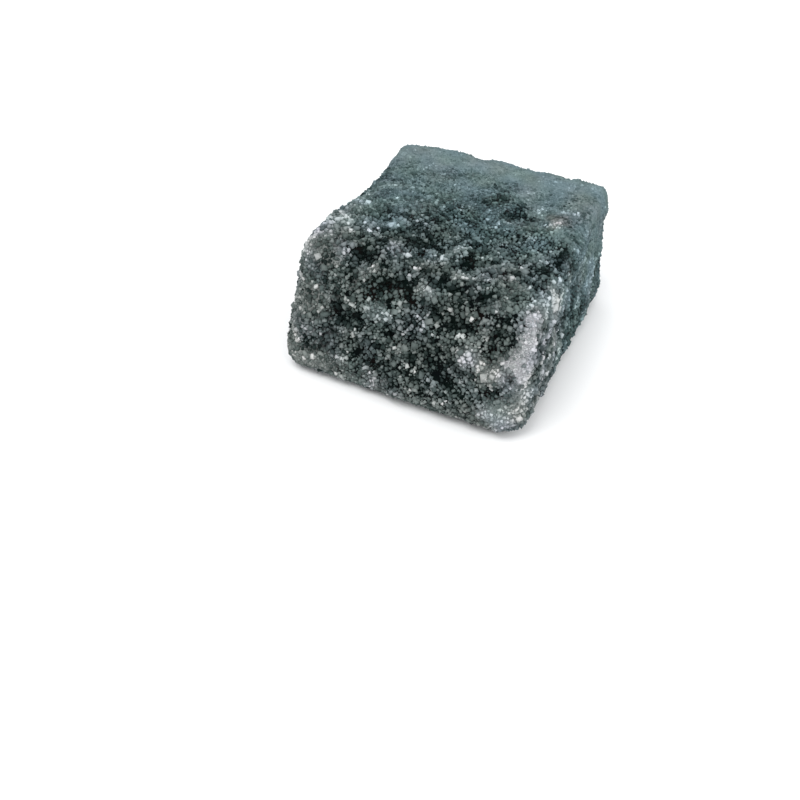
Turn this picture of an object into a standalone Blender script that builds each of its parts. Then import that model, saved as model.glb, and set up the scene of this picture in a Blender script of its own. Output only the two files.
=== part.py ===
"""A sugared pectin gummy: one bite-sized tablet of dark jelly, rolled in granulated sugar.

The tablet lies on its large face. X runs along its width, Y along its depth and Z up through its
thickness, and the origin is the middle of its underside. Sizes are in millimetres until the mesh
is built, which is in metres.
"""

import math
import random

import bmesh
import bpy
from mathutils import Matrix, Vector, noise

# Driving sizes, in millimetres
MILLIMETRE = 0.001
CELL = 0.70

# The tablet's corners before rounding: the base is wider than the top, and the back is the thin end
BASE = {
    ("left", "front"): (-10.70, -11.75),
    ("right", "front"): (10.70, -12.40),
    ("left", "back"): (-10.50, 12.30),
    ("right", "back"): (10.45, 12.40),
}
TOP = {
    ("left", "front"): (-9.65, -10.15, 11.95),
    ("right", "front"): (10.05, -11.25, 11.65),
    ("left", "back"): (-10.35, 12.35, 11.00),
    ("right", "back"): (9.30, 12.40, 11.25),
}

# How round each corner is: the near right bottom corner is the softest, the far right top one the tightest
BASE_RADIUS = {
    ("left", "front"): 1.9,
    ("right", "front"): 2.5,
    ("left", "back"): 1.6,
    ("right", "back"): 1.6,
}
TOP_RADIUS = {
    ("left", "front"): 1.9,
    ("right", "front"): 1.7,
    ("left", "back"): 1.7,
    ("right", "back"): 0.6,
}

# Sunken middle of the top face
DISH_DEPTH = 0.55
DISH_HALF_WIDTH = 9.0
DISH_HALF_DEPTH = 11.0

# Wide, shallow sinks of the soft jelly: centre, reach and depth (a swelling is less than 0)
SINKS = [
    ((-4.0, 12.2, 10.8), 4.5, -0.30),
    ((-9.6, 0.0, 11.3), 3.6, 0.60),
    ((-9.9, 4.0, 9.8), 5.0, 0.50),
    ((0.5, -10.9, 11.2), 6.5, 0.45),
    ((0.5, 12.3, 4.5), 7.0, 0.45),
    ((10.3, 1.0, 4.0), 6.0, 0.35),
]

# Folds of the skin: the points a fold runs through, its half width and its height (a groove is less than 0).
# The long dip by the near right corner comes first, then the sugary ridge that bounds it.
FOLDS = [
    ([(8.4, -9.1, 11.5), (8.5, -10.9, 11.1), (7.7, -11.3, 9.8), (7.0, -11.5, 7.4)], 1.15, -0.95),
    ([(10.0, -7.6, 11.5), (10.2, -10.9, 11.1), (10.0, -11.4, 9.8), (10.0, -11.7, 7.1)], 0.85, 0.45),
    ([(10.0, -11.7, 7.1), (8.7, -11.7, 5.8), (7.0, -11.7, 5.6), (5.0, -11.5, 6.6)], 0.8, 0.45),
    ([(-5.0, -10.7, 8.7), (-2.7, -10.9, 8.2), (-0.6, -11.0, 8.1)], 0.75, 0.32),
    ([(-3.3, -10.7, 10.1), (-0.1, -10.8, 11.1), (2.7, -10.4, 11.7)], 0.8, -0.42),
    ([(-1.8, -7.0, 11.7), (0.4, -5.2, 11.6)], 0.8, -0.30),
    ([(0.0, -10.4, 11.7), (1.6, -10.9, 10.6)], 0.7, 0.30),
    ([(1.4, -6.7, 11.7), (2.3, -4.7, 11.6)], 0.8, 0.30),
    ([(3.3, -9.6, 11.7), (5.9, -8.0, 11.6)], 0.7, 0.28),
    ([(3.1, -6.8, 11.6), (4.6, -8.4, 11.6)], 0.7, -0.36),
    ([(2.0, -11.1, 8.9), (4.6, -11.2, 9.1)], 0.8, -0.40),
    ([(-5.6, -10.9, 6.7), (-4.6, -11.1, 5.3), (-4.1, -11.2, 4.4)], 0.8, -0.34),
    ([(-1.0, -11.1, 6.4), (1.0, -11.3, 6.0), (3.0, -11.4, 6.3)], 0.7, -0.32),
    ([(0.2, -11.4, 4.8), (1.2, -11.5, 3.8)], 0.75, 0.26),
    ([(9.6, 6.2, 8.0), (9.9, 1.2, 6.9), (10.2, -3.8, 5.2)], 1.1, -0.30),
    ([(-10.1, -5.3, 4.6), (-10.2, -0.8, 6.0)], 1.0, -0.32),
    ([(-4.0, 12.2, 6.2), (1.5, 12.3, 7.4)], 1.0, -0.32),
    ([(-4.6, 3.4, 11.2), (-1.4, 5.2, 11.1)], 1.0, -0.24),
]

# How far a fold or a pit fades out, in half widths or radii
FADE = 1.6

# Pits of the skin: centre, radius and depth
PITS = [
    ((-4.4, -9.9, 11.8), 1.0, 0.90),
    ((8.7, -3.1, 11.4), 0.9, 0.50),
    ((3.8, 3.0, 11.4), 1.3, 0.30),
    ((-2.9, 12.0, 11.0), 0.9, 0.40),
    ((-10.1, 7.0, 4.0), 0.9, 0.45),
    ((10.0, 8.2, 3.4), 0.9, 0.40),
    ((4.6, 12.3, 5.2), 1.0, 0.45),
]

# Lumps of the jelly, as size across and height, and the height of the sugar's grit
LUMPS = [
    (4.6, 0.20),
    (1.9, 0.14),
]
GRIT_HEIGHT = 0.15

# The underside stays flat, and the relief grows above it
FLAT_UNTIL = 0.25
FULL_FROM = 1.5
TOUCHING = 0.002

# The largest sugar crystals, six-sided and half sunk in the jelly
CRYSTAL_COUNT = 100
CRYSTAL_ACROSS = (0.50, 0.74)
CRYSTAL_LENGTH = (0.8, 1.2)
CRYSTAL_FLATNESS = (0.7, 1.0)
CRYSTAL_RISE = (-0.14, 0.02)
CRYSTAL_APART = 2.0
CRYSTAL_LOWEST = 0.9
CRYSTAL_TRIES = 6000
SEED = 41

# Edges shorter than this, left where a crystal meets the skin, are closed up
SHORTEST_EDGE = 0.02

JELLY_COLOUR = (0.075, 0.105, 0.102, 1.0)
JELLY_ROUGHNESS = 0.62


def blend(corners, across, along):
    """Value between four corners, across the width and along the depth, both from 0 to 1."""
    front = corners[("left", "front")] * (1 - across) + corners[("right", "front")] * across
    back = corners[("left", "back")] * (1 - across) + corners[("right", "back")] * across
    return front * (1 - along) + back * along


BASE_PLACES = {corner: Vector((*place, 0.0)) for corner, place in BASE.items()}
TOP_PLACES = {corner: Vector(place) for corner, place in TOP.items()}


def tablet_point(across, along, up):
    """Point of the sharp-cornered tablet for three shares from 0 to 1."""
    return blend(BASE_PLACES, across, along) * (1 - up) + blend(TOP_PLACES, across, along) * up


def rounding(across, along, up):
    """Radius of the rounding near a point of the tablet."""
    return blend(BASE_RADIUS, across, along) * (1 - up) + blend(TOP_RADIUS, across, along) * up


def mean_size():
    """Width, depth and thickness of the tablet through its middle."""
    middle = 0.5
    width = (tablet_point(1, middle, middle) - tablet_point(0, middle, middle)).length
    depth = (tablet_point(middle, 1, middle) - tablet_point(middle, 0, middle)).length
    thickness = (tablet_point(middle, middle, 1) - tablet_point(middle, middle, 0)).length
    return Vector((width, depth, thickness))


def rounded_point(shares, size):
    """Moves a point of the block's surface in to the rounded block, then to the tablet's own shape."""
    radius = rounding(*shares)
    place = Vector([share * side for share, side in zip(shares, size)])
    core = Vector([min(max(value, radius), side - radius) for value, side in zip(place, size)])
    out = place - core
    if out.length > 0:
        place = core + out.normalized() * radius
    return tablet_point(*[value / side for value, side in zip(place, size)])


def add_grid(mesh, size):
    """Adds the six sides of the block as one closed net of cells, already rounded."""
    steps = [round(side / CELL) for side in size]
    points = {}

    def point(place):
        if place not in points:
            shares = [index / count for index, count in zip(place, steps)]
            points[place] = mesh.verts.new(rounded_point(shares, size))
        return points[place]

    for axis in range(3):
        first, second = (axis + 1) % 3, (axis + 2) % 3
        for end in (0, steps[axis]):
            for i in range(steps[first]):
                for j in range(steps[second]):
                    ring = []
                    for di, dj in ((0, 0), (1, 0), (1, 1), (0, 1)):
                        place = [0, 0, 0]
                        place[axis] = end
                        place[first] = i + di
                        place[second] = j + dj
                        ring.append(point(tuple(place)))
                    if end == 0:
                        ring.reverse()
                    mesh.faces.new(ring)


def bell(distance, reach):
    """A smooth hump: 1 at no distance, 0 from the reach on."""
    share = min(distance / reach, 1.0)
    return (1 - share * share) ** 2


def distance_to_run(place, run):
    """Distance from a point to a run of straight stretches."""
    shortest = math.inf
    for start, end in zip(run[:-1], run[1:]):
        stretch = end - start
        share = min(max((place - start).dot(stretch) / stretch.length_squared, 0.0), 1.0)
        shortest = min(shortest, (place - start - stretch * share).length)
    return shortest


FOLD_RUNS = [([Vector(spot) for spot in spots], half * FADE, height) for spots, half, height in FOLDS]


def relief(place, normal):
    """Height of the skin above the rounded tablet at a point."""
    height = 0.0
    if normal.z > 0:
        across = min(abs(place.x) / DISH_HALF_WIDTH, 1.0)
        along = min(abs(place.y) / DISH_HALF_DEPTH, 1.0)
        height -= DISH_DEPTH * normal.z * (1 - across ** 2) * (1 - along ** 2)
    for centre, reach, depth in SINKS:
        height -= depth * bell((place - Vector(centre)).length, reach)
    for run, reach, fold_height in FOLD_RUNS:
        height += fold_height * bell(distance_to_run(place, run), reach)
    for centre, radius, depth in PITS:
        height -= depth * bell((place - Vector(centre)).length, radius * FADE)
    for across, lump_height in LUMPS:
        height += lump_height * noise.noise(place / across)
    return height


def raise_relief(mesh, draw):
    """Moves every point along its normal by the relief and the grit, and leaves the underside flat."""
    mesh.normal_update()
    moves = {}
    for vert in mesh.verts:
        share = min(max((vert.co.z - FLAT_UNTIL) / (FULL_FROM - FLAT_UNTIL), 0.0), 1.0)
        if share > 0:
            height = relief(vert.co, vert.normal) + draw.uniform(-GRIT_HEIGHT, GRIT_HEIGHT)
            moves[vert] = vert.normal * height * share
    for vert, move in moves.items():
        vert.co += move


def join_flat_underside(mesh):
    """Makes the flat middle of the underside one face, exactly level."""
    for vert in mesh.verts:
        if vert.co.z < TOUCHING:
            vert.co.z = 0
    flat = [face for face in mesh.faces if all(vert.co.z == 0 for vert in face.verts)]
    bmesh.ops.dissolve_faces(mesh, faces=flat, use_verts=False)


def pick_crystal_places(mesh, draw):
    """Places for crystals on the upper skin, spread evenly: each is kept clear of those before it."""
    faces = [face for face in mesh.faces if face.calc_center_median().z > CRYSTAL_LOWEST]
    places = []
    for _ in range(CRYSTAL_TRIES):
        if len(places) == CRYSTAL_COUNT:
            break
        face = draw.choice(faces)
        place = face.calc_center_median()
        if all((place - other).length > CRYSTAL_APART for other, _ in places):
            places.append((place, face.normal.copy()))
    return places


def make_crystal(number, place, normal, draw, collection):
    """One six-sided crystal that lies half sunk in the skin."""
    across = draw.uniform(*CRYSTAL_ACROSS)
    length = across * draw.uniform(*CRYSTAL_LENGTH)
    mesh = bmesh.new()
    bmesh.ops.create_cone(mesh, cap_ends=True, segments=6, radius1=across / 2, radius2=across / 2, depth=length)
    turn = Matrix.Rotation(draw.uniform(0, math.tau), 3, "Z")
    tip = Matrix.Rotation(draw.uniform(0, math.pi), 3, "X")
    stand = normal.to_track_quat("Z", "Y").to_matrix()
    squash = Matrix.Diagonal((1.0, draw.uniform(*CRYSTAL_FLATNESS), 1.0))
    centre = place + normal * draw.uniform(*CRYSTAL_RISE)
    for vert in mesh.verts:
        vert.co = (centre + stand @ turn @ tip @ squash @ vert.co) * MILLIMETRE
    data = bpy.data.meshes.new(f"crystal_{number}")
    mesh.to_mesh(data)
    mesh.free()
    crystal = bpy.data.objects.new(f"crystal_{number}", data)
    collection.objects.link(crystal)


def fuse_crystals(gummy, places, draw):
    """Joins the crystals to the gummy by one union, then removes their own objects."""
    crystals = bpy.data.collections.new("crystals")
    bpy.context.scene.collection.children.link(crystals)
    for number, (place, normal) in enumerate(places):
        make_crystal(number, place, normal, draw, crystals)
    union = gummy.modifiers.new("fuse_crystals", "BOOLEAN")
    union.operation = "UNION"
    union.operand_type = "COLLECTION"
    union.collection = crystals
    union.solver = "EXACT"
    bpy.context.view_layer.objects.active = gummy
    bpy.ops.object.modifier_apply(modifier=union.name)
    for crystal in list(crystals.objects):
        data = crystal.data
        bpy.data.objects.remove(crystal)
        bpy.data.meshes.remove(data)
    bpy.data.collections.remove(crystals)


def close_short_edges(data):
    """Closes up the slivers of the union and leaves triangles only."""
    mesh = bmesh.new()
    mesh.from_mesh(data)
    bmesh.ops.dissolve_degenerate(mesh, dist=SHORTEST_EDGE * MILLIMETRE, edges=mesh.edges)
    bmesh.ops.triangulate(mesh, faces=mesh.faces)
    mesh.to_mesh(data)
    mesh.free()


def centre_over_origin(data):
    """Puts the middle of the mesh's box over the origin."""
    for axis in (0, 1):
        low = min(vert.co[axis] for vert in data.vertices)
        high = max(vert.co[axis] for vert in data.vertices)
        for vert in data.vertices:
            vert.co[axis] -= (low + high) / 2


def jelly_material():
    material = bpy.data.materials.new("sugared_dark_jelly")
    material.use_nodes = True
    shader = material.node_tree.nodes["Principled BSDF"]
    shader.inputs["Base Color"].default_value = JELLY_COLOUR
    shader.inputs["Roughness"].default_value = JELLY_ROUGHNESS
    shader.inputs["Metallic"].default_value = 0.0
    return material


def make_gummy():
    draw = random.Random(SEED)
    mesh = bmesh.new()
    add_grid(mesh, mean_size())
    bmesh.ops.recalc_face_normals(mesh, faces=mesh.faces)
    raise_relief(mesh, draw)
    mesh.normal_update()
    places = pick_crystal_places(mesh, draw)
    join_flat_underside(mesh)
    bmesh.ops.triangulate(mesh, faces=mesh.faces)
    bmesh.ops.scale(mesh, vec=Vector((MILLIMETRE,) * 3), verts=mesh.verts)
    data = bpy.data.meshes.new("gummy")
    mesh.to_mesh(data)
    mesh.free()
    data.materials.append(jelly_material())
    gummy = bpy.data.objects.new("gummy", data)
    bpy.context.scene.collection.objects.link(gummy)
    fuse_crystals(gummy, places, draw)
    close_short_edges(data)
    centre_over_origin(data)


for old in list(bpy.data.objects):
    bpy.data.objects.remove(old)
make_gummy()
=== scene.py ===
"""Looks of a sugared pectin gummy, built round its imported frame."""

import math

import bpy
import numpy as np
from mathutils import Matrix, Vector, noise


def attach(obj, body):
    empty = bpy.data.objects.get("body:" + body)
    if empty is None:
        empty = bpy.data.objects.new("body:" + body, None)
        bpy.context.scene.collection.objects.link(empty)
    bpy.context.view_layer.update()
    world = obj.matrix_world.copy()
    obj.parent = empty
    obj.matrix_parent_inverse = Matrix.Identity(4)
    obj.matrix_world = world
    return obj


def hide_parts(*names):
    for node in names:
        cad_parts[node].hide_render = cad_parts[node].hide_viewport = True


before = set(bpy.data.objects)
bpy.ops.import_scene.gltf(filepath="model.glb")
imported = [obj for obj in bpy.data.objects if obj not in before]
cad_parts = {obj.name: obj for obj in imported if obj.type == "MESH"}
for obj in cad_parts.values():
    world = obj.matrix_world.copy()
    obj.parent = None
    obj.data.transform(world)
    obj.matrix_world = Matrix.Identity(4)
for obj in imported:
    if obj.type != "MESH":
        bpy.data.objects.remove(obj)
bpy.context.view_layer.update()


# The jelly: one tablet of dark pectin jelly, cast in a mould and dried until its skin puckered. It is
# the frame's own form, drawn in by the thickness of the sugar that covers it. Where the sugar is
# finest it has half melted into the skin, as a grey-green bloom.
JELLY_CELL = 0.00021
JELLY_SMOOTHING = 6
MELT_SMOOTHING = 16
COAT_THICKNESS = 0.00013
PUCKER_ACROSS = 0.0011
PUCKER_HEIGHT = 0.00022

# The gummy's half sizes and its middle, from which a place's nearness to an edge is worked out
HALF_SIZES = np.array([0.0105, 0.0122, 0.0058])
MIDDLE = np.array([0.0, 0.0, 0.0058])

# Light patches, where sugar has gathered, and after them dark ones, where the jelly shows; some light ones
# are also painted light on places that turn away from the lamps. The points of a run and its reach in
# millimetres, then how light or dark it is
COAT_AND_PAINTED_LIGHT_PATCHES = [
    ([(-7.2, -5.6, 11.5)], 1.5, 2.1),
    ([(-8.9, -9.6, 10.9), (-9.2, -10.8, 7.5), (-9.4, -11.2, 4.5)], 2.3, 0.5),
    ([(-9.0, -8.0, 11.3), (-8.6, 1.0, 11.3)], 3.0, 0.85),
    ([(-6.7, -11.1, 7.7)], 0.9, 0.7),
    ([(-1.5, -9.5, 11.3)], 0.8, 0.9),
    ([(-3.0, -6.3, 11.5), (-2.2, -7.9, 11.2)], 1.0, 1.1),
    ([(-4.7, -10.9, 9.3), (-3.8, -10.5, 10.3), (-3.2, -10.1, 10.9)], 0.8, 0.8),
    ([(0.6, -10.5, 10.4), (1.5, -10.7, 10.4)], 1.0, 1.3),
    ([(-3.0, -11.4, 7.6), (-1.9, -11.3, 8.4), (-1.8, -11.3, 7.3)], 1.1, 1.3),
    ([(-4.7, -11.1, 5.0)], 0.9, 0.8),
    ([(-8.2, -11.4, 4.2)], 0.9, 0.8),
    ([(0.1, -8.4, 11.3), (1.0, -6.8, 11.5), (1.2, -4.4, 11.1)], 0.9, 1.1),
    ([(0.5, -3.2, 11.1)], 0.6, 0.9),
    ([(-3.8, 4.6, 10.8)], 0.6, 0.8),
    ([(-1.4, 5.2, 10.9)], 0.6, 0.7),
    ([(2.9, -8.5, 11.3), (5.0, -7.6, 11.4)], 0.9, 1.4),
    ([(7.8, -2.7, 11.3)], 0.6, 1.0),
    ([(7.0, -7.2, 11.4), (8.3, -7.7, 11.3)], 1.0, 1.4),
    ([(5.7, -4.8, 11.3)], 1.2, 1.0),
    ([(7.2, -10.8, 10.8), (7.2, -9.5, 11.2), (7.1, -8.3, 11.5)], 0.8, 0.9),
    ([(-5.0, -4.6, 11.4), (-3.8, -3.2, 11.4)], 1.2, 0.9),
    ([(1.5, -10.7, 9.3)], 0.8, 0.9),
    ([(0.0, -11.7, 5.5)], 0.9, 1.4),
    ([(0.8, -11.3, 7.6)], 0.8, 0.6),
    ([(-6.9, -10.3, 11.2), (-5.7, -10.3, 11.2)], 0.8, 0.9),
    ([(-5.8, -8.2, 11.7)], 0.9, 0.8),
    ([(7.8, 1.1, 11.4)], 0.7, 0.6),
    ([(4.7, 4.4, 10.8), (5.8, 5.4, 11.0), (6.9, 5.5, 11.1)], 0.9, 1.0),
    ([(6.9, 5.5, 11.1), (8.2, 4.6, 11.3)], 0.6, 0.4),
    ([(8.2, 7.5, 11.3)], 0.6, 0.6),
    ([(8.4, 10.6, 11.3)], 0.8, 0.5),
    ([(3.4, 7.8, 11.0), (2.8, 6.8, 10.9)], 0.5, 0.5),
    ([(9.8, 3.6, 10.3), (9.1, 4.3, 11.3)], 0.5, 0.5),
    ([(7.8, 1.3, 11.4), (7.5, 2.6, 11.3), (7.1, 3.6, 11.1)], 0.9, 0.8),
    ([(10.3, 6.5, 5.0)], 2.6, 0.95),
    ([(8.8, -9.3, 10.6), (10.0, -8.6, 10.9), (10.1, -6.3, 10.1)], 1.3, 1.4),
    ([(9.7, -2.2, 10.8)], 1.0, 1.1),
    ([(10.3, -10.8, 10.1), (10.3, -11.0, 9.1)], 1.2, 1.7),
    ([(10.2, -9.9, 9.8), (10.2, -7.2, 9.4)], 1.3, 0.6),
    ([(10.2, -6.0, 10.3), (9.8, -4.9, 10.7)], 1.5, 0.9),
    # Painted light: the upper right edge, where the surface turns away from the lamps, is lightened
    ([(10.2, -3.8, 8.8)], 2.1, 1.8),
    ([(10.3, -11.1, 8.7), (10.3, -11.0, 5.2)], 1.0, 1.0),
    ([(10.4, -10.2, 7.0)], 1.4, 0.3),
    ([(9.1, -12.3, 5.4), (9.9, -11.5, 4.8)], 1.0, 0.9),
    ([(10.2, -9.0, 8.5), (10.2, -5.1, 6.3), (10.1, -2.1, 2.8)], 2.4, 0.75),
    ([(10.2, -5.1, 6.3)], 0.7, 0.6),
    ([(10.1, -2.1, 2.8)], 0.7, 0.6),
    ([(10.3, -8.0, 4.9), (10.3, -6.2, 2.9)], 0.9, 0.6),
    ([(5.4, -11.6, 7.8), (5.3, -12.0, 6.7), (6.4, -11.5, 7.1), (7.7, -12.2, 5.9)], 1.1, 1.3),
    ([(5.2, -11.1, 9.4)], 0.7, 0.7),
    ([(6.8, -12.1, 6.0), (8.2, -11.8, 6.7), (8.1, -11.3, 7.4)], 1.1, 1.2),
    # Partly pale crumbly sugar, partly painted light: the near lower right corner, which turns away from the
    # lamps, is lightened
    ([(10.2, -11.1, 4.4), (9.9, -11.5, 2.9), (8.7, -12.3, 2.4)], 1.5, 0.7),
    ([(8.2, -12.2, 2.6)], 2.8, 0.85),
    ([(10.4, -10.2, 4.5), (10.4, -10.6, 2.2)], 1.3, 0.9),
    ([(9.4, 5.3, 9.2)], 0.8, 0.6),
    ([(9.7, 0.9, 5.9)], 1.3, 0.9),
    ([(-9.5, -11.2, 2.0), (-4.5, -11.9, 1.4), (0.4, -12.2, 1.4), (6.0, -12.3, 1.2)], 1.3, 0.35),
    ([(-6.3, -11.8, 2.6), (-3.9, -11.9, 2.9), (-1.0, -11.9, 2.2)], 0.8, 0.6),
    ([(-5.0, -11.9, 1.6)], 0.9, -0.6),
    ([(-4.6, -9.0, 11.6), (-5.2, -9.8, 11.1)], 0.85, -1.8),
    ([(-5.4, -10.6, 10.7)], 0.8, -0.3),
    ([(-2.0, -10.5, 9.9), (-0.8, -10.2, 10.3), (0.1, -10.8, 9.5)], 0.9, -1.4),
    ([(-2.3, -5.9, 11.5), (-0.5, -5.1, 11.2)], 1.0, -0.8),
    ([(1.5, -9.8, 11.0), (2.9, -9.9, 11.1)], 0.9, -0.9),
    ([(2.5, -10.8, 8.9), (5.1, -11.2, 8.6)], 0.9, -1.1),
    ([(4.1, -10.3, 11.2), (5.8, -9.9, 11.6)], 0.9, -0.8),
    ([(3.3, -6.5, 11.3)], 1.2, -1.2),
    ([(2.9, 2.9, 10.8), (3.9, 4.7, 10.8)], 1.1, -0.7),
    ([(-5.5, -11.0, 6.8), (-5.0, -11.1, 6.0)], 0.9, -0.6),
    ([(-0.6, -11.5, 7.2), (-1.2, -11.2, 6.4)], 0.9, -0.8),
    ([(1.7, -11.9, 4.9), (4.1, -11.8, 4.7)], 0.9, -1.1),
    ([(3.3, -12.0, 4.2)], 0.6, -0.7),
    ([(8.8, -12.4, 5.2)], 0.7, -0.3),
    ([(-7.8, -11.7, 3.4)], 0.9, -1.0),
    ([(-8.2, -10.8, 8.8)], 0.9, -0.7),
    ([(-6.2, -10.8, 10.1)], 0.8, -0.5),
    ([(5.7, -11.3, 10.1)], 0.9, -0.5),
    ([(8.2, -8.0, 11.1), (7.9, -10.4, 10.2), (7.4, -10.7, 8.3)], 1.1, -0.25),
    ([(2.5, -11.3, 7.0)], 0.8, -0.5),
    ([(8.9, -5.6, 11.4), (8.7, -2.7, 11.2), (9.0, -0.8, 11.4)], 1.0, -0.9),
    ([(9.9, 0.7, 3.8)], 0.9, -0.9),
    ([(10.2, -9.4, 8.4)], 0.6, -1.2),
    ([(10.0, -10.0, 10.6)], 0.5, -0.4),
    ([(10.3, -9.5, 6.4)], 0.7, -1.0),
    ([(8.7, -12.3, 5.9), (9.6, -12.0, 5.7)], 0.6, -0.3),
    ([(6.5, -12.1, 5.0)], 0.7, -0.6),
    ([(6.7, -12.3, 3.2)], 1.0, -0.5),
    ([(7.6, 7.9, 11.3)], 0.7, -0.8),
    ([(8.8, 8.3, 11.4)], 0.5, -0.7),
    ([(4.9, 7.3, 11.0)], 0.9, -0.6),
    ([(9.8, 4.7, 10.2), (8.6, 5.8, 11.4)], 0.5, -0.5),
    ([(9.4, 6.6, 9.2), (9.6, 4.6, 8.8)], 0.8, -0.5),
    ([(-4.2, -11.5, 4.0)], 0.9, -0.5),
    ([(2.3, -9.3, 11.2)], 0.9, -0.4),
    ([(4.7, -0.1, 11.2)], 1.2, -0.9),
    ([(1.4, 4.5, 11.0), (1.5, 7.8, 11.0)], 1.4, -0.6),
    ([(4.6, 3.6, 10.7)], 1.1, -0.8),
    ([(4.1, -11.0, 10.0), (4.6, -11.0, 10.5)], 0.9, -0.9),
    ([(-3.6, -11.3, 4.7)], 0.9, -1.1),
    ([(-0.8, 1.6, 11.0), (-0.8, -1.5, 11.1)], 1.7, -0.55),
    ([(-8.8, 1.3, 10.5), (-7.5, 0.6, 11.2)], 1.7, -1.2),
    ([(-1.8, -2.7, 11.3), (-0.6, -2.5, 11.2)], 1.0, -1.0),
    ([(-4.0, 6.9, 11.0), (-0.8, 8.9, 11.0)], 1.5, -0.5),
    ([(-10.3, -2.0, 5.5), (-10.3, 4.0, 5.5)], 4.5, -0.3),
    ([(-2.0, 12.3, 5.5), (3.0, 12.3, 5.5)], 4.5, -0.15),
    ([(0.0, -3.0, 0.0), (0.0, 4.0, 0.0)], 7.0, -0.5),
]

# No patch may be darker than this, or it would look like a hole
DARKEST = -1.05

# The crusted ridge beside the long dip, near the right corner: the runs' points and reaches
CRUST_RUNS = [
    ([(9.6, -10.1, 10.8), (9.9, -11.1, 10.2), (9.9, -11.3, 9.3), (9.7, -11.5, 8.6)], 1.0),
    ([(10.1, -11.3, 9.2), (9.8, -11.6, 8.2), (9.3, -11.9, 7.6), (9.8, -11.7, 7.0)], 1.5),
    ([(9.3, -11.9, 7.6), (8.3, -11.8, 7.2)], 0.9),
    ([(9.7, -11.8, 7.1), (9.9, -11.2, 5.8)], 0.8),
]

# A speck of browned sugar on the far right of the top
BROWNED_RUN = [(7.1, 4.1, 11.1), (7.4, 2.8, 11.2)]
BROWNED_REACH = 1.6

# Where else the sugar is fine, along the near lower edge and round its right corner: the runs' points,
# reaches and finenesses
FINE_RUNS = [
    ([(-9.8, -11.0, 1.0), (0.0, -12.1, 1.2), (7.0, -12.3, 1.0)], 1.6, 0.55),
    ([(8.0, -12.2, 2.0)], 3.6, 0.55),
]

# How far the edges of the patches wander, how far those of the fine sugar do, and over what lengths
PATCH_WANDER = (0.0005, 0.0009)
FINE_WANDER = (0.0014, 0.0035)

# Blender takes the directions of its noise from the clock unless they are seeded
noise.seed_set(3)


def along(places, run, reach):
    """1 on a run of points, falling smoothly to 0 at the reach. Run and reach are in millimetres."""
    run = np.array(run) * 0.001
    nearest = np.linalg.norm(places - run[0], axis=1)
    for first, last in zip(run[:-1], run[1:]):
        stretch = last - first
        share = np.clip((places - first) @ stretch / (stretch @ stretch), 0, 1)
        nearest = np.minimum(nearest, np.linalg.norm(places - first - share[:, None] * stretch, axis=1))
    share = np.clip(nearest / (reach * 0.001), 0, 1)
    return (1 - share ** 2) ** 2


def rise(values, low, high):
    """0 below low, 1 above high and a smooth step between."""
    share = np.clip((values - low) / (high - low), 0, 1)
    return share * share * (3 - 2 * share)


def noise_at(places, across):
    """Noise between -1 and 1, mostly near 0, with features of about that size."""
    return np.array([noise.noise(Vector(place) / across) for place in places])


def wander(places, push, across):
    """The places, pushed about a little, so that what is drawn at them gets a ragged edge."""
    return places + push * np.array([noise.noise_vector(Vector(place) / across) for place in places])


def lightness_at(places):
    """Above 0 in the light patches and below 0 in the dark ones."""
    places = wander(places, *PATCH_WANDER)
    lightness = sum(amount * along(places, run, reach) for run, reach, amount in COAT_AND_PAINTED_LIGHT_PATCHES)
    return np.maximum(lightness, DARKEST)


def crust_at(places):
    """1 on the crusted ridge, 0 off it."""
    places = wander(places, *PATCH_WANDER)
    return np.max([along(places, run, reach) for run, reach in CRUST_RUNS], axis=0)


def browned_at(places):
    """1 on the speck of browned sugar, 0 off it."""
    return along(wander(places, *PATCH_WANDER), BROWNED_RUN, BROWNED_REACH)


def edge_at(places):
    """0 in the middle of a face, about 1 on an edge."""
    return np.sort(np.abs(places - MIDDLE) / HALF_SIZES, axis=1)[:, 1]


def back_at(places):
    """1 on the back, 0 off it."""
    return rise(places[:, 1], 0.0112, 0.0124)


def top_at(places):
    """1 on the top but for its near edge, 0 on the sides."""
    return rise(places[:, 1], -0.0110, 0.0010) * rise(places[:, 2], 0.0080, 0.0105)


def right_at(places):
    """1 on the right side, 0 off it."""
    return rise(places[:, 0], 0.0075, 0.0099)


def fineness_at(places):
    """1 where the sugar is fine and half melted, towards the far edge and on the right side, 0 elsewhere."""
    back = back_at(places)
    places = wander(places, *FINE_WANDER)
    far = rise(places[:, 1], 0.0015, 0.0105)
    high = rise(places[:, 2], 0.0030, 0.0110)
    fine = np.maximum(far * high * (1 - 0.5 * back), 0.45 * back)
    fine = np.maximum(fine, far * rise(places[:, 2], 0.0095, 0.0115))
    fine = np.maximum(fine, 0.4 * rise(places[:, 1], -0.0060, 0.0020) * rise(places[:, 2], 0.0080, 0.0105))
    side = right_at(places) * rise(places[:, 1], -0.0050, 0.0070)
    fine = np.maximum(fine, side * (0.45 + 0.45 * high))
    fine = np.maximum(fine, 0.45 * rise(edge_at(places), 0.80, 1.0))
    for run, reach, amount in FINE_RUNS:
        fine = np.maximum(fine, amount * along(places, run, reach))
    return fine


def frost_at(places):
    """How thick the bloom of melted sugar lies, from 0, bare jelly, to 1, a closed film."""
    back = back_at(places)
    far = rise(places[:, 1], -0.0040, 0.0070) * rise(places[:, 2], 0.0020, 0.0100)
    frost = 0.20 + 0.25 * rise(edge_at(places), 0.70, 0.98) + 0.35 * far + 0.45 * fineness_at(places)
    frost += (0.40 - 0.25 * back) * rise(-places[:, 0], 0.0020, 0.0085) + 0.30 * back
    frost -= 0.40 * rise(-places[:, 0], 0.0092, 0.0104) * (1 - back)
    return np.clip(frost + 0.45 * lightness_at(places), 0, 1)


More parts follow.
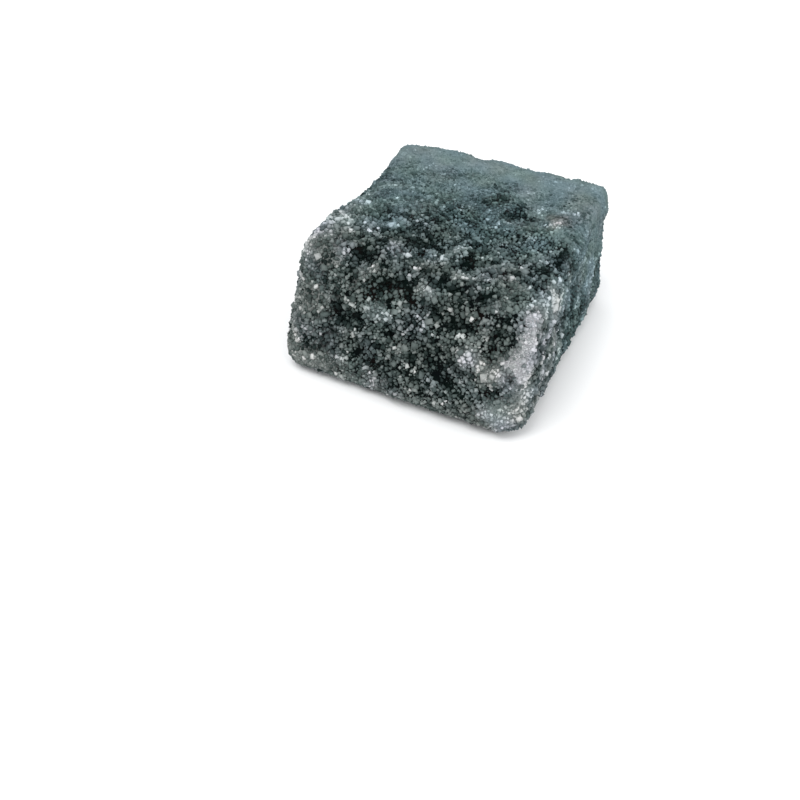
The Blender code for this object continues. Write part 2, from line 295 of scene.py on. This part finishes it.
def coolness_at(places):
    """1 where the coat has the blue-green cast of the top and the right side, less on the near side."""
    side = right_at(places) * rise(places[:, 1], -0.0080, 0.0020)
    back = 0.7 * rise(places[:, 1], 0.0100, 0.0122)
    cool = 0.10 + 0.85 * np.max([top_at(places), side, back], axis=0)
    return np.clip(cool + 0.45 * noise_at(places, 0.0024) - crust_at(places), -0.3, 1.3)


def blueness_at(places):
    """1 where the coat leans to slate blue, 0 where it leans to olive."""
    blue = 0.22 + 0.38 * np.maximum(top_at(places), right_at(places))
    # The noise is read some way off, so that it doesn't follow the cool cast's
    return np.clip(blue + 1.1 * noise_at(places + 0.05, 0.0021), 0, 1)


def store(piece, name, values):
    """Keeps one number for each point of the piece, for its material to read."""
    attribute = piece.data.attributes.new(name, "FLOAT", "POINT")
    attribute.data.foreach_set("value", np.ascontiguousarray(values, dtype=np.float32))


def points_of(piece):
    """The places of the piece's points, one to a row."""
    places = np.empty(len(piece.data.vertices) * 3, dtype=np.float32)
    piece.data.vertices.foreach_get("co", places)
    return places.reshape(-1, 3).astype(float)


def apply_modifiers(piece):
    """Makes the piece's modifiers part of its mesh, the first one first."""
    for modifier in list(piece.modifiers):
        bpy.ops.object.modifier_apply(modifier=modifier.name)


class Shade:
    """One output of a material's nodes. A sum on it adds the Math node that works it out."""

    def __init__(self, tree, socket=None):
        self.tree = tree
        self.socket = socket

    def node(self, kind, settings=None, sockets=None, output=0):
        """Adds a node: its settings first, a ramp's stops among them, then its sockets' values or links."""
        node = self.tree.nodes.new(kind)
        for name, value in (settings or {}).items():
            if name == "stops":
                while len(node.color_ramp.elements) < len(value):
                    node.color_ramp.elements.new(1.0)
                for element, (position, colour) in zip(node.color_ramp.elements, value):
                    element.position = position
                    element.color = (*colour, 1.0)
            else:
                setattr(node, name, value)
        for name, value in (sockets or {}).items():
            if isinstance(value, Shade):
                self.tree.links.new(value.socket, node.inputs[name])
            else:
                node.inputs[name].default_value = value
        return Shade(self.tree, node.outputs[output])

    def sum(self, operation, first, second):
        """Adds a Math node on two numbers."""
        return self.node("ShaderNodeMath", {"operation": operation}, {0: first, 1: second})

    def __add__(self, other):
        return self.sum("ADD", self, other)

    def __radd__(self, other):
        return self.sum("ADD", other, self)

    def __sub__(self, other):
        return self.sum("SUBTRACT", self, other)

    def __rsub__(self, other):
        return self.sum("SUBTRACT", other, self)

    def __mul__(self, other):
        return self.sum("MULTIPLY", self, other)

    def __rmul__(self, other):
        return self.sum("MULTIPLY", other, self)

    def step(self, low, high):
        """0 below low, 1 above high and a smooth step between."""
        settings = {"interpolation_type": "SMOOTHSTEP"}
        return self.node("ShaderNodeMapRange", settings, {0: self, 1: low, 2: high})

    def mix(self, low, high, blend="MIX"):
        """The colour low where this is 0, and high, or the two blended, where it is 1."""
        settings = {"data_type": "RGBA", "blend_type": blend}
        return self.node("ShaderNodeMix", settings, {0: self, 6: low, 7: high}, output=2)

    def speckle(self, across, detail=2.0):
        """Soft noise between 0 and 1 with features of about that size, in metres."""
        sockets = {"Vector": self, "Scale": 1 / across, "Detail": detail}
        return self.node("ShaderNodeTexNoise", None, sockets)


def new_material(name):
    """A new material, its Principled shader and its Object coordinates."""
    material = bpy.data.materials.new(name)
    material.use_nodes = True
    shader = material.node_tree.nodes["Principled BSDF"]
    here = Shade(material.node_tree).node("ShaderNodeTexCoord", output=3)
    return material, shader, here


def stored(here, name):
    """A number kept on the piece's points."""
    return here.node("ShaderNodeAttribute", {"attribute_name": name}, output=2)


def feed(shader, name, value):
    """Links a value to a shader's socket."""
    value.tree.links.new(value.socket, shader.inputs[name])


jelly_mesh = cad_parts["gummy"].data.copy()
jelly = bpy.data.objects.new("jelly", jelly_mesh)
bpy.context.scene.collection.objects.link(jelly)
bpy.ops.object.select_all(action="DESELECT")
jelly.select_set(True)
bpy.context.view_layer.objects.active = jelly
bpy.ops.object.mode_set(mode="EDIT")
bpy.ops.mesh.select_all(action="SELECT")
bpy.ops.mesh.remove_doubles(threshold=1e-6)
bpy.ops.object.mode_set(mode="OBJECT")

skin = jelly.modifiers.new("skin", "REMESH")
skin.mode = "VOXEL"
skin.voxel_size = JELLY_CELL
soften = jelly.modifiers.new("soften", "SMOOTH")
soften.factor = 0.5
soften.iterations = JELLY_SMOOTHING
apply_modifiers(jelly)

# The finer the sugar, the more the skin under it has melted smooth
melted = np.round(fineness_at(points_of(jelly)) * 10).astype(int)
melted_group = jelly.vertex_groups.new(name="melted")
for tenths in range(1, 11):
    melted_group.add(np.flatnonzero(melted == tenths).tolist(), tenths / 10, "REPLACE")
melt = jelly.modifiers.new("melt", "SMOOTH")
melt.vertex_group = "melted"
melt.factor = 0.5
melt.iterations = MELT_SMOOTHING
draw_in = jelly.modifiers.new("draw_in", "DISPLACE")
draw_in.strength = -COAT_THICKNESS
draw_in.mid_level = 0.0
puckers = bpy.data.textures.new("puckers", "CLOUDS")
puckers.noise_scale = PUCKER_ACROSS
puckers.noise_depth = 2
pucker = jelly.modifiers.new("pucker", "DISPLACE")
pucker.texture = puckers
pucker.texture_coords = "LOCAL"
pucker.strength = PUCKER_HEIGHT
pucker.mid_level = 0.5
apply_modifiers(jelly)
jelly.vertex_groups.clear()
bpy.ops.object.shade_smooth()

jelly_places = points_of(jelly)
store(jelly, "frost", frost_at(jelly_places))
store(jelly, "cool", coolness_at(jelly_places))
store(jelly, "blue", blueness_at(jelly_places))
store(jelly, "browned", browned_at(jelly_places))
store(jelly, "crust", crust_at(jelly_places))

JELLY_BLACK = (0.0015, 0.0028, 0.0030, 1.0)
JELLY_GREEN = (0.0026, 0.0062, 0.0052, 1.0)
JELLY_BROWN = (0.0048, 0.0032, 0.0030, 1.0)
BLOOM_PALE = (0.202, 0.215, 0.215, 1.0)
BLOOM_DEEP = (0.126, 0.142, 0.142, 1.0)
CRUST_WHITE = (0.275, 0.272, 0.285, 1.0)
COOL_TINT = (0.76, 0.98, 1.0, 1.0)
SLATE_TINT = (0.985, 0.985, 1.05, 1.0)
OLIVE_TINT = (1.01, 1.0, 0.955, 1.0)
BROWN_TINT = (1.32, 1.04, 0.98, 1.0)

# How large the flecks of the bloom and of the jelly are, how high the bloom's relief, in metres, and
# how much the jelly shines
BLOOM_GRAIN = 0.00030
BLOOM_BLOTCH = 0.0009
JELLY_BLOTCH = 0.0016
BROWN_BLOTCH = 0.0027
BLOOM_RELIEF = 0.00005
JELLY_GLOSS = 0.015


def tinted(here, colour):
    """The colour with the coat's cast there: blue-green, slate or olive, and browned on the speck."""
    blue = stored(here, "blue")
    colour = stored(here, "cool").mix(colour, COOL_TINT, "MULTIPLY")
    colour = blue.mix(colour, SLATE_TINT, "MULTIPLY")
    colour = (1 - blue).mix(colour, OLIVE_TINT, "MULTIPLY")
    return stored(here, "browned").mix(colour, BROWN_TINT, "MULTIPLY")


jelly_look, jelly_shader, here = new_material("dark_jelly")
fine = here.speckle(BLOOM_GRAIN, 3.0)
slow = here.speckle(JELLY_BLOTCH)
body_colour = slow.step(0.42, 0.62).mix(JELLY_BLACK, JELLY_GREEN)
body_colour = here.speckle(BROWN_BLOTCH, 1.0).step(0.55, 0.70).mix(body_colour, JELLY_BROWN)
bloom_colour = (fine * 0.5 + here.speckle(BLOOM_BLOTCH) * 0.5).step(0.35, 0.65).mix(BLOOM_DEEP, BLOOM_PALE)
bloomed = (stored(here, "frost") + (fine - 0.5) * 0.8 + (slow - 0.5) * 0.4).step(0.40, 0.80)
coated = tinted(here, bloomed.mix(body_colour, bloom_colour))
relief = here.node("ShaderNodeBump", None, {"Strength": 0.25, "Distance": BLOOM_RELIEF, "Height": fine})
feed(jelly_shader, "Base Color", stored(here, "crust").step(0.1, 0.6).mix(coated, CRUST_WHITE))
feed(jelly_shader, "Roughness", bloomed * 0.45 + 0.35)
feed(jelly_shader, "Normal", relief)
jelly_shader.inputs["Specular IOR Level"].default_value = JELLY_GLOSS
jelly_mesh.materials.clear()
jelly_mesh.materials.append(jelly_look)
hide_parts("gummy")
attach(jelly, "root")


# Whole crystals: the coarsest of the granulated sugar that the moist tablet was rolled in. They are
# blocks with a narrower end, a quarter to half a millimetre across, stuck half sunk in the skin. One is
# modelled, and a seeded draw repeats it over the skin.
CRYSTAL_SIZE = 0.00029
CRYSTAL_GAP = 0.00024
CRYSTAL_TRIES = 60000

# Every kind of grain is modelled about one unit across, and then scaled to its size
CRYSTAL_SHAPE = 0.9
CRYSTAL_TAPER = (0.55, 0.8, 1.0)
CRYSTAL_LEAN = (0.10, 0.05, 0.0)

# How much paler a grain's tip is than its root, as painted light at the tip and painted shade at the root
# over the jelly that shows through it, the colours from the darkest grain to the palest, and the size of its
# cloudy flaws
GRAIN_TIP_LIGHT_ROOT_SHADE = 0.11
GRAIN_SHADES = [
    (0.00, (0.0022, 0.0042, 0.0040)),
    (0.25, (0.0155, 0.0245, 0.0237)),
    (0.50, (0.0820, 0.1020, 0.1000)),
    (0.75, (0.1950, 0.2160, 0.2150)),
    (1.00, (0.5450, 0.5500, 0.5600)),
]
GRAIN_CLOUD = 0.00016

# The two sizes of the chance patches in which the grains are thicker and paler
MOTTLE_ACROSS = (0.0013, 0.0006)

draw = np.random.default_rng(17)
jelly_mesh.calc_loop_triangles()
skin_corners = np.empty(len(jelly_mesh.loop_triangles) * 3, dtype=np.int32)
jelly_mesh.loop_triangles.foreach_get("vertices", skin_corners)
skin_corners = skin_corners.reshape(-1, 3)
skin_normals = np.empty(len(jelly_mesh.vertices) * 3, dtype=np.float32)
jelly_mesh.vertices.foreach_get("normal", skin_normals)
skin_normals = skin_normals.reshape(-1, 3).astype(float)
sides = jelly_places[skin_corners]
skin_areas = np.linalg.norm(np.cross(sides[:, 1] - sides[:, 0], sides[:, 2] - sides[:, 0]), axis=1)


class Spots:
    """Random places all over the skin, each with the skin's normal and what the coat is like there."""

    def __init__(self, count, crust_only=False):
        picked = draw.choice(len(skin_corners), count, p=skin_areas / skin_areas.sum())
        first, second = draw.random((2, count))
        over = first + second > 1
        first[over] = 1 - first[over]
        second[over] = 1 - second[over]
        weights = np.stack([1 - first - second, first, second], 1)[:, :, None]
        corners = skin_corners[picked]
        normals = (skin_normals[corners] * weights).sum(1)
        self.places = (jelly_places[corners] * weights).sum(1)
        self.normals = normals / np.linalg.norm(normals, axis=1)[:, None]
        self.crust = crust_at(self.places)
        if not crust_only:
            coarse, small = (noise_at(self.places, across) for across in MOTTLE_ACROSS)
            self.fine = fineness_at(self.places)
            self.light = lightness_at(self.places)
            self.mottle = (coarse + small) * (1 - 0.75 * self.fine)

    def weigh(self, base, light=0.0, mottle=0.0, fine=0.0, crust=0.0):
        """A base number, raised or lowered by what the coat is like at each spot."""
        return base + light * self.light + mottle * self.mottle + fine * self.fine + crust * self.crust

    def keep(self, chance, gap=0.0):
        """Drops spots by chance, and then those that lie within the gap of one that is kept."""
        kept = np.flatnonzero(draw.random(len(self.places)) < chance)
        if gap:
            kept = kept[apart(self.places[kept], gap)]
        for name, values in vars(self).items():
            setattr(self, name, values[kept])

    def sizes(self, across, spread):
        """A grain's size for each spot, by chance."""
        return across * draw.lognormal(0.0, spread, len(self.places))

    def luck(self):
        """A number for each spot, by chance, mostly between -2 and 2."""
        return draw.normal(size=len(self.places))


def apart(places, gap):
    """Indices of places that leave a gap to every one kept before them."""
    kept = {}
    chosen = []
    for index, cell in enumerate(np.floor(places / gap).astype(int)):
        x, y, z = cell
        place = places[index]
        near = [
            other
            for i in (x - 1, x, x + 1)
            for j in (y - 1, y, y + 1)
            for k in (z - 1, z, z + 1)
            for other in kept.get((i, j, k), ())
        ]
        if all(np.sum((place - other) ** 2) > gap * gap for other in near):
            kept.setdefault((x, y, z), []).append(place)
            chosen.append(index)
    return np.array(chosen)


def random_turns(count):
    """Turns in every direction alike, as matrices."""
    quaternions = draw.normal(size=(4, count))
    a, b, c, d = quaternions / np.linalg.norm(quaternions, axis=0)
    rows = [
        [1 - 2 * (c * c + d * d), 2 * (b * c - a * d), 2 * (b * d + a * c)],
        [2 * (b * c + a * d), 1 - 2 * (b * b + d * d), 2 * (c * d - a * b)],
        [2 * (b * d - a * c), 2 * (c * d + a * b), 1 - 2 * (b * b + c * c)],
    ]
    return np.moveaxis(np.array(rows), 2, 0)


def select_end(grain, way):
    """Selects the face that looks up, with a way of 1, or down, with -1, and stays in edit mode."""
    bpy.ops.object.mode_set(mode="EDIT")
    bpy.ops.mesh.select_all(action="DESELECT")
    bpy.ops.object.mode_set(mode="OBJECT")
    for face in grain.data.polygons:
        face.select = face.normal.z * way > 0.9
    bpy.ops.object.mode_set(mode="EDIT")


def take_model(grain):
    """The corners and triangles of the grain just modelled, which is then removed."""
    bpy.ops.object.mode_set(mode="OBJECT")
    corners = points_of(grain)
    grain.data.calc_loop_triangles()
    faces = np.empty(len(grain.data.loop_triangles) * 3, dtype=np.int32)
    grain.data.loop_triangles.foreach_get("vertices", faces)
    bpy.data.objects.remove(grain)
    return corners, faces.reshape(-1, 3)


def strew(name, model, spots, across, proud, white, look):
    """Joins one grain at each spot into a piece. White is 0 for a dark grain, 1 for a snowy one."""
    corners, faces = model
    count = len(spots.places)
    stretch = across[:, None] * draw.uniform(0.75, 1.25, (count, 3))
    grains = np.einsum("nij,nkj->nki", random_turns(count), corners[None] * stretch[:, None])
    up = np.einsum("nki,ni->nk", grains, spots.normals) / across[:, None]
    grains += (spots.places + spots.normals * (across * proud)[:, None])[:, None]
    grains[:, :, 2] = np.maximum(grains[:, :, 2], 0.0)
    joined = (faces[None] + (np.arange(count) * len(corners))[:, None, None]).reshape(-1, 3)
    mesh = bpy.data.meshes.new(name)
    mesh.vertices.add(count * len(corners))
    mesh.vertices.foreach_set("co", grains.astype(np.float32).ravel())
    mesh.loops.add(joined.size)
    mesh.loops.foreach_set("vertex_index", joined.astype(np.int32).ravel())
    mesh.polygons.add(len(joined))
    mesh.polygons.foreach_set("loop_start", np.arange(0, joined.size, 3, dtype=np.int32))
    mesh.update(calc_edges=True)
    piece = bpy.data.objects.new(name, mesh)
    bpy.context.scene.collection.objects.link(piece)
    # Each corner's whiteness, with painted light towards the grain's tip and painted shade towards its root
    store(piece, "white", np.clip(white[:, None] + GRAIN_TIP_LIGHT_ROOT_SHADE * up, 0, 1).ravel())
    store(piece, "cool", np.repeat(coolness_at(spots.places), len(corners)))
    store(piece, "blue", np.repeat(blueness_at(spots.places), len(corners)))
    store(piece, "browned", np.repeat(browned_at(spots.places), len(corners)))
    mesh.materials.append(look)
    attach(piece, "root")


def sugar_look(name, roughness, gloss):
    """Sugar over dark jelly, with cloudy flaws: a grain is dark at its root and pale at its tip, partly the
    jelly seen through it and partly painted shade and painted light.
    """
    look, shader, here = new_material(name)
    cloudy = here.speckle(GRAIN_CLOUD)
    white = stored(here, "white") + (cloudy - 0.5) * 0.13
    shade = white.node("ShaderNodeValToRGB", {"stops": GRAIN_SHADES}, {0: white})
    feed(shader, "Base Color", tinted(here, shade))
    feed(shader, "Roughness", cloudy * 0.3 + roughness)
    shader.inputs["Specular IOR Level"].default_value = gloss
    return look


bpy.ops.object.select_all(action="DESELECT")
bpy.ops.mesh.primitive_cube_add(size=CRYSTAL_SHAPE)
crystal = bpy.context.object
select_end(crystal, 1)
bpy.ops.transform.resize(value=CRYSTAL_TAPER)
bpy.ops.transform.translate(value=CRYSTAL_LEAN)
whole_crystal = take_model(crystal)

spots = Spots(CRYSTAL_TRIES)
chance = np.maximum(spots.weigh(0.62, light=0.50, mottle=0.50, fine=-0.50), 0.30) * (1 - spots.crust)
spots.keep(chance, CRYSTAL_GAP)
across = spots.sizes(CRYSTAL_SIZE * spots.weigh(1.0, fine=-0.25), 0.22)
white = spots.weigh(0.44, light=0.25, mottle=0.33, fine=0.20, crust=0.30)
white += spots.weigh(0.13, fine=-0.07) * spots.luck()
crystal_look = sugar_look("sugar_crystals", 0.40, 0.04)
strew("sugar_crystals", whole_crystal, spots, across, spots.weigh(0.05, fine=-0.35), white, crystal_look)


# Broken crystals: chips of the same sugar, about a fifth of a millimetre across, that fill the gaps
# between the whole ones. Each has eight sides, and it lies deeper where the sugar has melted.
CHIP_SIZE = 0.00021
CHIP_GAP = 0.00016
CHIP_TRIES = 70000
CHIP_SHAPE = 0.62

bpy.ops.object.select_all(action="DESELECT")
bpy.ops.mesh.primitive_cone_add(vertices=4, radius1=CHIP_SHAPE, depth=CHIP_SHAPE)
chip = bpy.context.object
select_end(chip, -1)
bpy.ops.mesh.poke(offset=CHIP_SHAPE)
bpy.ops.mesh.select_all(action="SELECT")
bpy.ops.transform.translate(value=(0.0, 0.0, CHIP_SHAPE / 2))
broken_crystal = take_model(chip)

spots = Spots(CHIP_TRIES)
spots.keep(np.maximum(spots.weigh(0.45, light=0.40, mottle=0.40, fine=0.1), 0.25), CHIP_GAP)
across = spots.sizes(CHIP_SIZE, 0.2)
white = spots.weigh(0.34, light=0.25, mottle=0.33, fine=0.29, crust=0.45)
white += spots.weigh(0.10, fine=-0.06) * spots.luck()
proud = 0.05 - 0.35 * np.maximum(spots.fine, spots.crust)
strew("sugar_chips", broken_crystal, spots, across, proud, white, crystal_look)


# Sugar dust: what is rubbed off the crystals as the tablets are rolled. It is four-sided specks of a
# tenth of a millimetre, which stick all over and lie thickest where the sugar is fine.
DUST_SIZE = 0.00012
DUST_TRIES = 90000
DUST_RADIUS = 0.6
DUST_HEIGHT = 0.8
DUST_LIFT = 0.15

bpy.ops.object.select_all(action="DESELECT")
bpy.ops.mesh.primitive_cone_add(vertices=3, radius1=DUST_RADIUS, depth=DUST_HEIGHT)
speck = bpy.context.object
bpy.ops.object.mode_set(mode="EDIT")
bpy.ops.mesh.select_all(action="SELECT")
bpy.ops.transform.translate(value=(0.0, 0.0, DUST_LIFT))
dust_speck = take_model(speck)

spots = Spots(DUST_TRIES)
spots.keep(spots.weigh(0.30, light=0.20, fine=0.50))
across = spots.sizes(DUST_SIZE, 0.25)
white = spots.weigh(0.36, light=0.20, fine=0.25, crust=0.40)
white += spots.weigh(0.09, fine=-0.05) * spots.luck()
dust_look = sugar_look("sugar_dust", 0.55, 0.03)
strew("sugar_dust", dust_speck, spots, across, -0.3 * spots.fine, white, dust_look)


# Crusted sugar: fine grains that were wetted and dried into a pale crust on the ridge beside the dip.
# They sit deep in it, close together, and thin out down its sides.
CRUST_SIZE = 0.00019
CRUST_GAP = 0.00011
CRUST_TRIES = 300000

spots = Spots(CRUST_TRIES, crust_only=True)
spots.keep(rise(spots.crust, 0.0, 0.6), CRUST_GAP)
across = spots.sizes(CRUST_SIZE, 0.25)
white = 0.54 + 0.27 * rise(spots.crust, 0.0, 0.6) + 0.05 * spots.luck()
strew("sugar_crust", broken_crystal, spots, across, -0.20, white, dust_look)


# The photograph's camera: close to the gummy, over its near right corner and tipped a little to one
# side, with a normal lens. The gummy stands above and to the right of the picture's middle.
VIEW_AZIMUTH = math.radians(20)
VIEW_ELEVATION = math.radians(39)
VIEW_ROLL = math.radians(5.5)
VIEW_DISTANCE = 0.0972
VIEW_AIM = Vector((-0.00195, -0.0050, -0.0051))

flat = math.cos(VIEW_ELEVATION)
back = Vector((math.sin(VIEW_AZIMUTH) * flat, -math.cos(VIEW_AZIMUTH) * flat, math.sin(VIEW_ELEVATION)))
level = Vector((math.cos(VIEW_AZIMUTH), math.sin(VIEW_AZIMUTH), 0.0))
right = level * math.cos(VIEW_ROLL) + back.cross(level) * math.sin(VIEW_ROLL)
bpy.ops.object.camera_add()
camera = bpy.context.object
camera.rotation_mode = "QUATERNION"
camera.rotation_quaternion = Matrix((right, back.cross(right), back)).transposed().to_quaternion()
camera.location = VIEW_AIM + back * VIEW_DISTANCE
camera.data.lens = 50
camera.data.sensor_width = 36
camera.data.clip_start = 0.005
camera.data.clip_end = 10
bpy.context.scene.camera = camera


# The table: a plain white surface that runs on past the picture's edge. It grows paler away from the
# gummy, so that it meets the white room without a line.
TABLE_WHITE = (0.86, 0.86, 0.86, 1.0)
TABLE_PALE = (0.90, 0.90, 0.90, 1.0)
TABLE_FAR = (0.99, 0.98, 0.97, 1.0)
TABLE_BLOTCH = 0.02

bpy.ops.object.select_all(action="DESELECT")
bpy.ops.mesh.primitive_plane_add(size=3.0)
table = bpy.context.object
table.name = "table"
table_look, table_shader, here = new_material("white_table")
near_colour = here.speckle(TABLE_BLOTCH).mix(TABLE_WHITE, TABLE_PALE)
distance = here.node("ShaderNodeVectorMath", {"operation": "LENGTH"}, {0: here}, output=1)
feed(table_shader, "Base Color", distance.step(0.10, 0.50).mix(near_colour, TABLE_FAR))
table_shader.inputs["Roughness"].default_value = 0.9
table_shader.inputs["Specular IOR Level"].default_value = 0.1
table.data.materials.append(table_look)


# Studio light, as for a picture of goods: a bright white room, one large soft lamp high in front and a
# weaker one from the right, so that the table stays white and the shadow soft.
def lamp(name, place, size, power):
    """A square lamp that faces the gummy, with its size in metres and its power in watts."""
    bpy.ops.object.light_add(type="AREA", location=place)
    light = bpy.context.object
    light.name = name
    light.data.size = size
    light.data.energy = power
    light.rotation_mode = "QUATERNION"
    light.rotation_quaternion = Vector(place).to_track_quat("Z", "Y")


lamp("key_lamp", (-0.10, -0.28, 0.55), 0.30, 1.95)
lamp("fill_lamp", (0.45, -0.15, 0.30), 0.30, 0.8)
room = bpy.data.worlds.new("white_room")
room.use_nodes = True
background = room.node_tree.nodes["Background"]
background.inputs["Color"].default_value = (0.97, 0.985, 1.0, 1.0)
background.inputs["Strength"].default_value = 1.035
bpy.context.scene.world = room
bpy.context.scene.view_settings.view_transform = "Standard"
